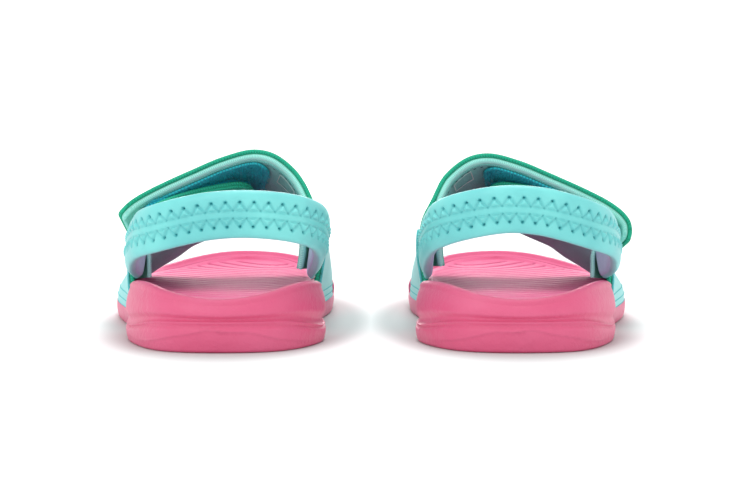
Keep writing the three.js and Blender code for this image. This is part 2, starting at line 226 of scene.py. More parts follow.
# threads are counted to the centimetre
def woven(name, base, dark, threads, roughness=0.85, depth=0.6, sheen=0.15):
    material, maker, shader = newMaterial(name, roughness, sheen, sheenTint=hexColor(base))
    place = clothPlace(maker)
    along = maker.node("ShaderNodeSeparateXYZ", {}, {"Vector": place}, "X")
    across = Value(maker, along.socket.node.outputs["Y"])
    warp = (along * (threads * math.tau)).calc("SINE")
    weft = (across * (threads * math.tau)).calc("SINE")
    over = (warp * weft) * 0.5 + 0.5
    fuzz = noise(maker, place, threads * 2.3, 3)
    height = over * 0.75 + fuzz * 0.5
    # darker where the weave sinks: painted shade between the threads, with random tone from the fuzz noise
    color = maker.mix(height.band(0.25, 0.95), hexColor(dark), hexColor(base))
    maker.feed(shader.inputs["Base Color"], color)
    bump(maker, shader, height, depth, 0.00025)
    maker.feed(shader.inputs["Roughness"], roughness + fuzz * 0.1)
    return material


finishes = {
    "solePink": moulded("solePink", "DE5C84", "93274C", "E77197", 0.42, 0.75, 0.45),
    "footbedPink": moulded("footbedPink", "E97099", "9A2B54", "EE82A6", 0.6, 0.3, 0.12),
    "strapTurquoise": skin("strapTurquoise", "7ADCD9", "1E94A2", 0.42, coat=0.1),
    "filmTurquoise": skin("filmTurquoise", "86DEDD", "66C9CC", 0.45, coat=0.08),
    "filmBorder": skin("filmBorder", "62D2D6", "35B4C0", 0.6, grit=1.0),
    "emeraldWeave": woven("emeraldWeave", "1FBD96", "0D8D6C", 11, depth=0.9),
    "mintEdge": woven("mintEdge", "A8EFE2", "7FD9CC", 16, depth=0.4),
    "tealLining": woven("tealLining", "7CD6C8", "489C96", 13, depth=0.6),
    "grayLining": woven("grayLining", "A2DCDC", "78AFB2", 14, depth=0.6),
    "hookTeal": woven("hookTeal", "16BFC6", "0A8F9C", 9, 0.6, depth=0.9),
    "loopCyan": woven("loopCyan", "1CC4D6", "0BA0B4", 8, 0.9, depth=0.8, sheen=0.4),
    "strapLining": woven("strapLining", "A8CEE0", "8AB2CA", 15, depth=0.25, sheen=0.3),
    "threadCyan": woven("threadCyan", "6FD3D5", "43B9C0", 30, depth=0.5),
    "threadDark": woven("threadDark", "2E6E6C", "1C4E4E", 30, depth=0.5),
    "labelPrint": skin("labelPrint", "A9CFC9", "9AC2BD", 0.6),
}
print("finishes ready:", len(finishes))


def ease(t):
    c = np.clip(t, 0, 1)
    return c * c * (3 - 2 * c)


class Path:        # smooth curve through points, read by its share of the length
    def __init__(self, points, closed=False, fineness=32):
        p = np.asarray(points, float)
        if closed:
            p = np.vstack([p[-1], p, p[0], p[1]])
        else:
            p = np.vstack([2 * p[0] - p[1], p, 2 * p[-1] - p[-2]])
        dense = []
        for a, b, c, d in zip(p, p[1:], p[2:], p[3:]):
            t1 = np.linalg.norm(b - a) ** 0.5
            t2 = t1 + np.linalg.norm(c - b) ** 0.5
            t3 = t2 + np.linalg.norm(d - c) ** 0.5
            t = np.linspace(t1, t2, fineness, endpoint=False)[:, None]
            a1 = (t1 - t) / t1 * a + t / t1 * b
            a2 = (t2 - t) / (t2 - t1) * b + (t - t1) / (t2 - t1) * c
            a3 = (t3 - t) / (t3 - t2) * c + (t - t2) / (t3 - t2) * d
            b1 = (t2 - t) / t2 * a1 + t / t2 * a2
            b2 = (t3 - t) / (t3 - t1) * a2 + (t - t1) / (t3 - t1) * a3
            dense.append((t2 - t) / (t2 - t1) * b1 + (t - t1) / (t2 - t1) * b2)
        self.points = np.vstack([*dense, p[-2][None]])
        steps = np.linalg.norm(np.diff(self.points, axis=0), axis=1)
        self.along = np.concatenate([[0], np.cumsum(steps)])
        self.length = self.along[-1]

    def at(self, share):
        s = np.clip(share, 0, 1) * self.length
        return np.stack([np.interp(s, self.along, self.points[:, k]) for k in range(3)], axis=-1)


def unit(v):
    return v / np.maximum(np.linalg.norm(v, axis=-1, keepdims=True), 1e-12)


def gridQuads(rows, columns, wrap=False):        # quads of a rows by columns grid of vertex numbers
    index = np.arange(rows * columns).reshape(rows, columns)
    if wrap:
        index = np.hstack([index, index[:, :1]])
    a, b = index[:-1, :-1], index[:-1, 1:]
    c, d = index[1:, 1:], index[1:, :-1]
    return np.stack([a, b, c, d], axis=-1).reshape(-1, 4)


def placed(points, side):        # a sandal's own points, put where it stands, in metres
    place = np.asarray(points, float).copy()
    place[:, 0] = sides[side] * (place[:, 0] + axisX)
    place[:, 1] += heelY
    return (place * mm).tolist()


# faceMaterial is an index for each face into the material and the extra ones
def meshPiece(name, side, points, quads, material, uv=None, relief=None, faceMaterial=None, extra=()):
    place = placed(points, side)
    quads = np.asarray(quads)
    if sides[side] < 0:        # a mirrored sandal's faces are turned back outwards
        quads = quads[:, ::-1]
    mesh = bpy.data.meshes.new(name)
    faces = [tuple(dict.fromkeys(q)) for q in quads.tolist()]        # repeated corners are dropped
    faces = [(f, i) for i, f in enumerate(faces) if len(f) > 2]
    mesh.from_pydata(place, [], [f for f, i in faces])
    for one in [material, *extra]:
        mesh.materials.append(finishes[one])
    if faceMaterial is not None:
        mesh.polygons.foreach_set("material_index", [int(faceMaterial[i]) for f, i in faces])
    corner = np.empty(len(mesh.loops), dtype=np.int32)
    mesh.loops.foreach_get("vertex_index", corner)
    if uv is not None:
        layer = mesh.uv_layers.new(name="cloth")
        layer.data.foreach_set("uv", np.asarray(uv, np.float32)[corner].ravel())
    # relief is painted shade for each point, kept in the "relief" attribute
    values = np.zeros(len(place)) if relief is None else relief
    mesh.attributes.new("relief", "FLOAT", "POINT").data.foreach_set("value", np.asarray(values, np.float32))
    mesh.polygons.foreach_set("use_smooth", np.ones(len(mesh.polygons), dtype=bool))
    mesh.update()
    mesh.validate()
    piece = bpy.data.objects.new(f"{side}_{name}", mesh)
    bpy.context.collection.objects.link(piece)
    return piece


def smallMesh(name, rings):        # a tube through rings of points, its ends closed
    rows, columns = len(rings), len(rings[0])
    points = np.vstack(rings)
    quads = [tuple(q) for q in gridQuads(rows, columns, wrap=True).tolist()]
    ends = [tuple(range(columns))[::-1], tuple(range((rows - 1) * columns, rows * columns))]
    mesh = bpy.data.meshes.new(name)
    mesh.from_pydata((points * mm).tolist(), [], quads + ends)
    mesh.polygons.foreach_set("use_smooth", np.ones(len(mesh.polygons), dtype=bool))
    return bpy.data.objects.new(name, mesh)


def tubeMesh(name, line, radius, columns=6):        # radius may vary along the line
    line = np.asarray(line, float)
    ahead = unit(np.gradient(line, axis=0))
    side = unit(np.cross(ahead, [0.02, 1.0, 0.03]))
    up = np.cross(side, ahead)
    turn = np.linspace(0, math.tau, columns, endpoint=False)
    ring = np.cos(turn)[None, :, None] * side[:, None] + np.sin(turn)[None, :, None] * up[:, None]
    radii = np.broadcast_to(radius, (len(line),))
    return smallMesh(name, list(line[:, None] + ring * radii[:, None, None]))


def loopLine(width, height, count=7):
    turn = np.linspace(-0.25, math.pi + 0.25, count)
    return [(width * math.cos(a), 0, height * math.sin(a)) for a in turn]


def barLine(*places):
    return [(t, 0, 0) for t in places]


hookLine = [(0, 0, -0.1), (0, 0, 0.35), (0.08, 0, 0.6), (0.28, 0, 0.62), (0.4, 0, 0.42)]
tinyShapes = {        # millimetres: line, radius along it, sides
    "stitch": tubeMesh("stitchShape", barLine(-0.95, -0.75, 0, 0.75, 0.95), [0.08, 0.18, 0.22, 0.18, 0.08]),
    "slit": tubeMesh("slitShape", barLine(-0.55, -0.35, 0, 0.35, 0.55), [0.05, 0.16, 0.2, 0.16, 0.05]),
    "loop": tubeMesh("loopShape", loopLine(0.6, 1.05), 0.09, 4),
    "hook": tubeMesh("hookShape", hookLine, [0.1, 0.08, 0.07, 0.06, 0.04], 4),
}


def newTree(name, sockets):        # a Geometry Nodes tree with its named inputs
    tree = bpy.data.node_groups.new(name, "GeometryNodeTree")
    tree.interface.new_socket("Geometry", in_out="INPUT", socket_type="NodeSocketGeometry")
    for socketName, kind in sockets:
        tree.interface.new_socket(socketName, in_out="INPUT", socket_type=kind)
    tree.interface.new_socket("Geometry", in_out="OUTPUT", socket_type="NodeSocketGeometry")
    entry = tree.nodes.new("NodeGroupInput")
    maker = Maker(tree)
    return tree, maker, lambda key: Value(maker, entry.outputs[key])


def finishTree(maker, tree, geometry, material):
    real = maker.node("GeometryNodeRealizeInstances", {}, [geometry])
    painted = maker.node("GeometryNodeSetMaterial", {}, {"Geometry": real, "Material": material})
    leave = tree.nodes.new("NodeGroupOutput")
    maker.feed(leave.inputs[0], painted)


def rowTree():        # a shape repeated along a line, turned to follow it
    tree, maker, given = newTree("stitchRow", [
        ("Pitch", "NodeSocketFloat"), ("Shape", "NodeSocketObject"), ("Finish", "NodeSocketMaterial"),
        ("Unevenness", "NodeSocketFloat")])
    line = maker.node("GeometryNodeMeshToCurve", {}, [given("Geometry")])
    inputs = {"Curve": line, "Length": given("Pitch")}
    spaced = maker.node("GeometryNodeResampleCurve", {"mode": "LENGTH"}, inputs)
    tangent = maker.node("GeometryNodeInputTangent")
    turn = maker.node("FunctionNodeAlignRotationToVector", {"axis": "X"}, {"Vector": tangent})
    shape = maker.node("GeometryNodeObjectInfo", {}, {"Object": given("Shape")}, "Geometry")
    size = maker.node("FunctionNodeRandomValue", {"data_type": "FLOAT"}, {}, 1)
    random = size.socket.node
    maker.feed(random.inputs[2], 1 - given("Unevenness"))
    maker.feed(random.inputs[3], 1 + given("Unevenness"))
    random.inputs["Seed"].default_value = 7
    inputs = {"Points": spaced, "Instance": shape, "Rotation": turn, "Scale": size}
    copies = maker.node("GeometryNodeInstanceOnPoints", {}, inputs)
    finishTree(maker, tree, copies, given("Finish"))
    return tree


def pileTree():        # loops or hooks grown where the surface's "grow" is set, joined to it
    tree, maker, given = newTree("pile", [
        ("Density", "NodeSocketFloat"), ("Spacing", "NodeSocketFloat"), ("Shape", "NodeSocketObject"),
        ("Finish", "NodeSocketMaterial"), ("Seed", "NodeSocketInt"), ("Lean", "NodeSocketFloat")])
    grow = maker.node("GeometryNodeInputNamedAttribute", {"data_type": "FLOAT"}, {"Name": "grow"})
    inputs = {"Mesh": given("Geometry"), "Selection": grow.calc("GREATER_THAN", 0.5),
              "Distance Min": given("Spacing"), "Density Max": given("Density"), "Seed": given("Seed")}
    points = maker.node("GeometryNodeDistributePointsOnFaces", {"distribute_method": "POISSON"}, inputs)
    upright = Value(maker, points.socket.node.outputs["Rotation"])
    spin = maker.node("FunctionNodeRandomValue", {"data_type": "FLOAT_VECTOR"}, {}, 0)
    random = spin.socket.node
    lean = maker.node("ShaderNodeCombineXYZ", {}, [given("Lean"), given("Lean"), 3.14])        # spun freely
    back = maker.node("ShaderNodeVectorMath", {"operation": "SCALE"}, {"Vector": lean, "Scale": -1.0})
    maker.feed(random.inputs[0], back)
    maker.feed(random.inputs[1], lean)
    maker.feed(random.inputs["Seed"], given("Seed"))
    inputs = {"Rotation": upright, "Rotate By": spin}
    spun = maker.node("FunctionNodeRotateRotation", {"rotation_space": "LOCAL"}, inputs)
    size = maker.node("FunctionNodeRandomValue", {"data_type": "FLOAT"}, {}, 1)
    size.socket.node.inputs[2].default_value = 0.7
    size.socket.node.inputs[3].default_value = 1.25
    maker.feed(size.socket.node.inputs["Seed"], given("Seed"))
    shape = maker.node("GeometryNodeObjectInfo", {}, {"Object": given("Shape")}, "Geometry")
    inputs = {"Points": points, "Instance": shape, "Rotation": spun, "Scale": size}
    copies = maker.node("GeometryNodeInstanceOnPoints", {}, inputs)
    join = tree.nodes.new("GeometryNodeJoinGeometry")
    maker.feed(join.inputs[0], copies)
    maker.feed(join.inputs[0], given("Geometry"))
    finishTree(maker, tree, Value(maker, join.outputs[0]), given("Finish"))
    return tree


trees = {"row": rowTree(), "pile": pileTree()}


def grown(piece, tree, values):        # runs a tree on a piece and keeps the result as its plain mesh
    modifier = piece.modifiers.new(tree.name, "NODES")
    modifier.node_group = tree
    for item in tree.interface.items_tree:
        if item.in_out == "INPUT" and item.name in values:
            modifier[item.identifier] = values[item.name]
    piece.update_tag()
    bpy.context.view_layer.update()
    evaluated = piece.evaluated_get(bpy.context.evaluated_depsgraph_get())
    mesh = bpy.data.meshes.new_from_object(evaluated)
    piece.modifiers.remove(modifier)
    piece.data = mesh
    mesh.name = piece.name


def stitchRow(name, side, lines, shape, finish, pitch):
    points, edges = [], []
    for line in lines:
        edges += [(len(points) + k, len(points) + k + 1) for k in range(len(line) - 1)]
        points += placed(line, side)
    mesh = bpy.data.meshes.new(name)
    mesh.from_pydata(points, edges, [])
    piece = bpy.data.objects.new(f"{side}_{name}", mesh)
    bpy.context.collection.objects.link(piece)
    values = {"Pitch": pitch * mm, "Shape": tinyShapes[shape], "Finish": finishes[finish], "Unevenness": 0.08}
    grown(piece, trees["row"], values)
    return piece


sole = {        # millimetres; y from the back of the heel, z from the ground
    "heelHalf": 31.5, "waistLateral": 35.2, "waistMedial": 27.8, "ballLateral": 45.0, "ballMedial": 32.8,
    "toeHalf": 34.5, "bed": 12.6, "toeThick": 10.4, "spring": 6.4, "springStart": 126.0, "bevel": 0.1,
    "rimInset": 2.9, "rimDip": 16.8, "rimTop": 21.8, "cupSlope": 8.5, "rimFall": (8.0, 85.0), "flange": 4.4,
    "bandRear": 66.0, "bandFront": 137.0, "recess": 3.2, "innerSlope": 0.9, "cupReach": 6.4,
    "grooveDepth": 1.0, "grooveHalf": 0.75, "groovePitch": 6.8, "grooveFirst": 54.0, "grooveCount": 19,
    "grooveRound": 12.0,
    "edgeInset": 0.25, "edgeRise": 1.1, "rimRise": 1.9, "rimDepth": 2.1, "bandSeat": 0.9, "wallTop": 6.0,
    "hollow": 1.15, "ledgeDip": 0.8, "partLine": (7.0, 5.0), "plugHeight": 4.6, "borderWidth": 2.0,
    "count": 660, "lanes": 126, "centre": (3.0, 90.0, 0.0),
}


def outlinePath(s):
    heel, toe = s["heelHalf"], s["toeHalf"]
    lateral = [(0.6 * heel, 0.027), (heel, 0.155), (s["waistLateral"], 0.35), (s["ballLateral"], 0.61),
               (toe + 3.5, 0.83), (0.53 * toe, 0.972)]
    medial = [(-0.53 * toe, 0.962), (4 - toe, 0.835), (-s["ballMedial"], 0.66), (-s["waistMedial"], 0.4),
              (-heel, 0.155), (-0.6 * heel, 0.027)]
    points = [(0, 0), *lateral, (2, 1), *medial]
    return Path([(x, share * soleLength, 0) for x, share in points], closed=True, fineness=500)


outline = outlinePath(sole)


def liftAt(y):
    toe = np.clip((y - sole["springStart"]) / (soleLength - sole["springStart"]), 0, 1)
    heel = np.clip(1 - y / 9, 0, 1)
    return sole["spring"] * toe ** 1.7 + sole["bevel"] * heel ** 2


def toeTopAt(y):
    return sole["toeThick"] + np.where(y > sole["springStart"], liftAt(y), 0)


def bedAt(y):
    high = toeTopAt(y) - 1
    return sole["bed"] + 0.5 * (high - sole["bed"] + np.sqrt((high - sole["bed"]) ** 2 + 0.3)) - 0.2


def rimAt(y):
    cup = sole["rimDip"] + (sole["rimTop"] - sole["rimDip"]) * (1 - np.exp(-(y / sole["cupSlope"]) ** 0.85))
    toe = np.maximum(toeTopAt(y) + 0.9, sole["bed"] + 0.6)
    start, length = sole["rimFall"]
    return cup + (toe - cup) * ease((y - start) / length)


def ledgeAt(y):        # top of the lower band that runs round the heel
    return 9.9 - 4.1 * ease(y / 34) + 1.2 * ease((y - 40) / 26)


def edgeX(y, side):        # x of the outline at y, on the lateral (1) or medial (-1) side
    p = outline.points
    half = len(p) // 2
    part = p[:half] if side > 0 else p[half:][::-1]
    order = np.argsort(part[:, 1])
    return np.interp(y, part[order, 1], part[order, 0])


def grooveDepthAt(x, y):        # nested arcs across the footbed, each a bowed line open towards the toe
    depth = np.zeros_like(x)
    for k in range(sole["grooveCount"]):
        vertexY = sole["grooveFirst"] + k * sole["groovePitch"]
        toward = np.clip((vertexY - 95) / 70, 0, 1)
        vertexX = -6 - 4 * toward
        slope = np.where(x > vertexX, 0.72 + 0.25 * toward, 1.35 + 0.3 * toward)
        run = slope * (x - vertexX)
        arc = vertexY + np.hypot(sole["grooveRound"], run) - sole["grooveRound"]
        lean = slope * run / np.hypot(sole["grooveRound"], run)
        gap = np.abs(y - arc) / np.sqrt(1 + lean ** 2)
        depth = np.maximum(depth, 1 - ease((gap - 0.25) / sole["grooveHalf"]))
    return depth


def outlineSamples(s):        # shares round the outline, closer at the ends of the band's recess
    shares = list(np.linspace(0, 1, s["count"], endpoint=False))
    points = outline.points
    for edge in (s["bandRear"], s["bandFront"]):
        for k in np.where(np.diff(np.sign(points[:, 1] - edge)))[0]:
            middle = outline.along[k] / outline.length
            shares += [middle + step / outline.length for step in np.arange(-2.4, 2.4, 0.2)]
    return np.unique(np.round(np.mod(shares, 1), 7))


def makeSole(side):
    s = sole
    shares = outlineSamples(s)
    edge = outline.at(shares)
    ahead = outline.at(np.mod(shares + 0.002, 1)) - outline.at(np.mod(shares - 0.002, 1))
    inward = unit(np.stack([-ahead[:, 1], ahead[:, 0], np.zeros(len(edge))], axis=1))
    x, y = edge[:, 0], edge[:, 1]
    lift, rim, bed, ledge = liftAt(y), rimAt(y), bedAt(y), ledgeAt(y)
    heelShare = 1 - ease((y - 58) / 8)        # 1 behind the band
    cupShare = 1 - ease((y - 34) / 56)        # 1 in the heel cup
    recess = ease((y - s["bandRear"] + 2.0) / 0.8) * ease((s["bandFront"] + 1.4 - y) / 0.8)
    rings, relief, kinds = [], [], []        # from the ground up, over the rim, to the footbed; relief is painted shade for each ring

    def ring(inset, z, dark=0.0, kind=0):
        place = edge + inward * np.broadcast_to(inset, y.shape)[:, None]
        place[:, 2] = z
        rings.append(place)
        relief.append(np.broadcast_to(dark, y.shape).copy())
        kinds.append(kind)

    for share in (0.0, 0.35, 0.7, 1.0):        # rounded lower edge
        angle = share * math.pi / 2
        ring(1 - math.sin(angle) + s["edgeInset"], lift + s["edgeRise"] * (1 - math.cos(angle)))
    top = s["wallTop"] + (ledge - s["wallTop"]) * heelShare
    low = lift + s["edgeRise"]
    partHeight, partFall = s["partLine"]        # the mould's parting line, wavy near its middle
    wave = 0.35 * np.sin(x * 0.45) * np.exp(-(x / 16) ** 2)
    partLine = partHeight - partFall * ease(np.abs(x) / 31) ** 1.2 + wave
    near = heelShare * (1 - ease((np.abs(x) - 24) / 6)) * (y < 40)
    torn = np.exp(-((x + 0.6) / 2.6) ** 2) * (y < 8)        # the sprue's scar, at the back only
    for share in np.linspace(0.1, 1, 18):
        z = low + (top - low) * share
        line = np.exp(-((z - partLine) / 0.32) ** 2) * near
        plug = np.exp(-((x / 3.6) ** 2 + ((z - s["plugHeight"]) / 2.6) ** 2) ** 2) * (y < 8)
        tear = torn * np.exp(-((z - partHeight - 0.5 * np.sin(x * 2.9)) / 0.5) ** 2)
        swell = 0.25 - 0.45 * math.sin(min(1.0, share / 0.75) * math.pi * 0.62)
        dip = s["ledgeDip"] * heelShare * math.exp(-((share - 0.84) / 0.09) ** 2)
        rolled = 0.4 * heelShare * max(0.0, (share - 0.93) / 0.07) ** 2
        # the parting line's groove is darkened with painted shade
        ring(swell + dip - 0.22 * line - 0.55 * tear - 0.2 * plug + rolled, z, 0.15 * line)
    panel = recess * s["recess"]
    flangeTop = lift + s["flange"]
    upper = rim - s["rimRise"]
    for j, share in enumerate(np.linspace(0, 1, 18)):        # hollow over the ledge, then the upper band
        hollow = s["hollow"] * math.exp(-((share - 0.14) / 0.12) ** 2)
        crown = -0.3 * math.sin(share * math.pi) + 1.25 * share ** 3
        height = np.maximum(top + (upper - top) * share, flangeTop)
        ring(heelShare * hollow + crown + panel * min(1, 0.35 + j), height)
    seat = bed + s["bandSeat"]
    for share in (0.25, 0.5, 0.75, 1.0):        # rounded rim, cut down where the band passes
        angle = share * math.pi / 2
        inset = 1.0 + s["rimDepth"] * (1 - math.cos(angle)) + panel * 0.8
        ring(inset, (upper + s["rimRise"] * math.sin(angle)) * (1 - recess) + seat * recess)
    rimZ = (rim - 0.15) * (1 - recess) + seat * recess
    rimInner = s["rimInset"] + 0.9
    ring(rimInner + panel * 0.5, rimZ)
    reach = s["innerSlope"] + s["cupReach"] * cupShare
    for share in np.linspace(0.1, 1, 9):        # slope down to the footbed
        inset = rimInner + share * reach + panel * 0.5 * (1 - share)
        ring(inset, rimZ + (bed + 0.5 - rimZ) * ease(share) ** 0.8, 0.0, 1)
    start = rimInner + reach
    for share in np.linspace(0.1, 1, 9):        # border groove, darkened with painted shade outside the heel cup, and the start of the flat
        line = math.exp(-((share - 0.5) / 0.2) ** 2)
        height = bed + 0.35 - 0.25 * share - 0.6 * line * (1 - cupShare * 0.7)
        ring(start + share * s["borderWidth"], height, 0.5 * line * (1 - cupShare), 1)
    wallCount, around = len(rings), len(y)
    points = np.vstack(rings)
    quads = gridQuads(wallCount, around, wrap=True)
    faceKind = np.repeat(kinds[:-1], around)
    # flat middle: lanes from the medial edge to the lateral one
    inner = rings[-1]
    half = around // 2
    medial, lateral = inner[np.mod(around - np.arange(1, half), around)], inner[1:half]
    count = s["lanes"]
    share = np.linspace(0, 1, count)[1:-1]
    lanes = medial[:, None] * (1 - share)[None, :, None] + lateral[:, None] * share[None, :, None]
    flatX, flatY = lanes[..., 0], lanes[..., 1]
    fromEdge = np.minimum(share, 1 - share)[None] * np.linalg.norm(lateral - medial, axis=1)[:, None]
    depth = grooveDepthAt(flatX, flatY) * ease((fromEdge - 1.6) / 1.2) * ease((flatY - 52) / 6)
    depth *= ease((soleLength - 9.5 - flatY - 0.010 * flatX ** 2) / 1.5)
    fade = ease(fromEdge / 3)
    edgeZ = medial[:, None, 2] * (1 - share)[None] + lateral[:, None, 2] * share[None]
    lanes[..., 2] = edgeZ + (bedAt(flatY) - edgeZ) * fade - s["grooveDepth"] * depth
    laneStart = len(points)
    points = np.vstack([points, lanes.reshape(-1, 3)])
    ringBase = (wallCount - 1) * around
    number = laneStart + np.arange(lanes.shape[0] * (count - 2)).reshape(lanes.shape[0], count - 2)
    firstColumn = ringBase + np.mod(around - np.arange(1, half), around)
    number = np.hstack([firstColumn[:, None], number, (ringBase + np.arange(1, half))[:, None]])
    a, b, c, d = number[:-1, :-1], number[:-1, 1:], number[1:, 1:], number[1:, :-1]
    flat = np.stack([a, b, c, d], axis=-1).reshape(-1, 4)
    tip = [ringBase + k for k in range(half - 1, around - half + 2)]
    heelFan = [[ringBase, number[0, k + 1], number[0, k], ringBase] for k in range(count - 1)]
    tipFan = [[tip[1], number[-1, k], number[-1, k + 1], tip[1]] for k in range(count - 1)]
    extraTip = [[tip[k], tip[k + 1], tip[1], tip[k]] for k in range(2, len(tip) - 1)]
    bedQuads = np.vstack([flat, heelFan, tipFan, *([extraTip] if extraTip else [])])
    centre = len(points)        # middle of the underside
    points = np.vstack([points, [s["centre"]]])
    under = [[centre, (k + 1) % around, k, centre] for k in range(around)]
    allQuads = np.vstack([quads, bedQuads, under])
    kindsAll = np.concatenate([faceKind, np.ones(len(bedQuads)), np.zeros(len(under))])
    # painted shade in the footbed's grooves, fading in from y = 92 towards the toe
    grooveShade = 0.6 * depth.ravel() * ease((flatY.ravel() - 92) / 30)
    shade = np.concatenate([np.concatenate(relief), grooveShade, [0.0]])
    piece = meshPiece("moulded_sole", side, points, allQuads, "solePink", relief=shade,
                      faceMaterial=kindsAll, extra=["footbedPink"])
    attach(piece, f"{side}_base")
    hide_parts(f"{side}_sole")


for side in sides:
    makeSole(side)
print("soles made")


band = {        # splits and overlayEnd are shares of a strap's length from its root
    "rear": 66.0, "front": 137.0, "height": 60.9, "frontHeight": 41.8, "flapReach": 41.0,
    "endRear": 76.0, "endFront": 115.0, "tabReach": 6.0, "tabDrop": 10.2, "tabFrontDrop": 13.6,
    "tabTip": 91.0, "flapSplit": 0.33, "tabSplit": 0.4, "flapFilmEnd": 0.7, "overlayEnd": 0.86, "shell": 1.5,
    "padding": 2.1, "tabPadding": 1.2, "lining": 0.7, "overlay": 0.9, "corner": 8.0, "tabRadius": 7.0,
    "pocket": 4.4, "bulge": {"right": 1.0, "left": 2.5}, "tabBulge": 0.7, "filmRows": (1.3, 3.9, 6.9),
    "filmBorder": (1.4, 4.2), "filmPitch": 2.7, "liningPitch": 2.6, "jointReach": 9.0,
}


def bandEdge(rows, side, rootY, reach, top):
    root = edgeX(rootY, side) - side * 0.2
    low = sole["flange"] + 0.3 + liftAt(np.array(rootY))
    return Path([(root + (reach - root) * across, y, low + (top - low) * rise) for across, rise, y in rows])


class Sheet:        # curved sheet between two edges; u runs to the free end, v from rear to front
    def __init__(self, rear, front, side, follow, bulge):
        self.rear, self.front, self.side, self.follow, self.bulge = rear, front, side, follow, bulge

    def surface(self, u, v):
        rear, front = self.rear.at(u), self.front.at(u)
        point = rear + (front - rear) * v[..., None]
        rootY = band["rear"] + (band["front"] - band["rear"]) * v
        ends = edgeX(band["rear"], self.side), edgeX(band["front"], self.side)
        straight = ends[0] + (ends[1] - ends[0]) * v
        point[..., 0] += (edgeX(rootY, self.side) - straight) * (1 - ease(u / self.follow))
        low = np.clip(u / (1.25 * self.follow), 0, 1)
        point[..., 0] += self.side * self.bulge * 4 * low * (1 - low) * np.sin(math.pi * v)
        return point

    def normal(self, u, v):
        step = 0.004
        low, high = np.clip(u - step, 0, 1), np.clip(u + step, 0, 1)
        along = self.surface(high, v) - self.surface(low, v)
        across = self.surface(u, np.minimum(v + step, 1)) - self.surface(u, np.maximum(v - step, 0))
        return unit(np.cross(along, across)) * -self.side

    def at(self, u, v, offset):
        return self.surface(u, v) + self.normal(u, v) * np.asarray(offset)[..., None]


def bandSheets(side):
    b = band
    apex = b["rear"] + 14
    curl = 1.0 if side == "right" else 0.0        # the right flap's end is pressed down a little further
    flapRear = [(0, 0, 66), (-0.027, 0.2, 65), (-0.05, 0.42, 65), (-0.035, 0.6, 67), (0.025, 0.74, 71),
                (0.105, 0.88, 76), (0.21, 0.976, apex - 2), (0.32, 1, apex), (0.47, 0.955, apex - 0.5),
                (0.63, 0.873, apex - 1.5), (0.81, 0.773, apex - 3)]
    flapRear += [(0.92, 0.7, apex - 3.6), (0.985, 0.638, 76), (1.02, 0.58, 76), (1.034, 0.51, 77),
                 (1.03, 0.45, 78)] if curl \
        else [(0.91, 0.705, apex - 3.5), (1, 0.63, b["endRear"])]
    f = b["front"]
    flapFront = [(0, 0, f), (0.02, 0.28, f), (0.075, 0.53, f - 1), (0.145, 0.75, f - 2), (0.235, 0.91, f - 4),
                 (0.33, 0.985, f - 6), (0.43, 1, f - 8), (0.55, 0.975, f - 11), (0.67, 0.915, f - 14),
                 (0.79, 0.84, f - 17), (0.89, 0.755, f - 19), (1, 0.665 - 0.02 * curl, b["endFront"])]
    flapFront += [(1.025, 0.57, b["endFront"]), (1.022, 0.48, b["endFront"])] if curl else []
    height = b["height"] + (-0.9 if curl else 0.4)
    flap = Sheet(bandEdge(flapRear, -1, b["rear"], b["flapReach"], height),
                 bandEdge(flapFront, -1, b["front"], b["flapReach"], b["frontHeight"]), -1, b["flapSplit"],
                 b["bulge"][side])
    r = b["rear"]
    tabRear = [(0, 0, r), (-0.025, 0.25, r - 1), (-0.03, 0.48, r - 1), (-0.005, 0.67, r + 1),
               (0.12, 0.795, r + 6), (0.36, 0.895, r + 12), (0.68, 0.965, r + 17), (1, 1, b["tabTip"] - 3)]
    tabFront = [(0, 0, f), (0.02, 0.22, f), (0.13, 0.47, f - 1), (0.3, 0.7, f - 3), (0.48, 0.9, f - 7),
                (0.66, 1.07, f - 14), (0.84, 1.25, f - 26), (1, 1.47, b["tabTip"] + 9)]
    tab = Sheet(bandEdge(tabRear, 1, r, -b["tabReach"], b["height"] - b["tabDrop"]),
                bandEdge(tabFront, 1, f, -b["tabReach"], b["frontHeight"] - b["tabFrontDrop"]), 1,
                b["tabSplit"], b["tabBulge"])
    return flap, tab


def overlayDepth(u, split):
    start = band["overlayEnd"]
    return (band["overlay"] + 0.15) * (1 - ease((u / split - start) / (1.2 - start)))


def pocketAt(u, v, split):
    return band["pocket"] * (1 - ease((u / split - 0.62) / 0.38)) * (1 - ease(v / 0.3))


def cornerMargin(left, radius, width):
    inside = np.clip(radius - left, 0, radius)
    return (radius - np.sqrt(radius ** 2 - inside ** 2)) / width


def roundedShare(t):        # height of a quarter circle, 0 at the edge and 1 from t = 1 on
    return np.sqrt(np.clip(1 - (1 - np.clip(t, 0, 1)) ** 2, 0, 1))


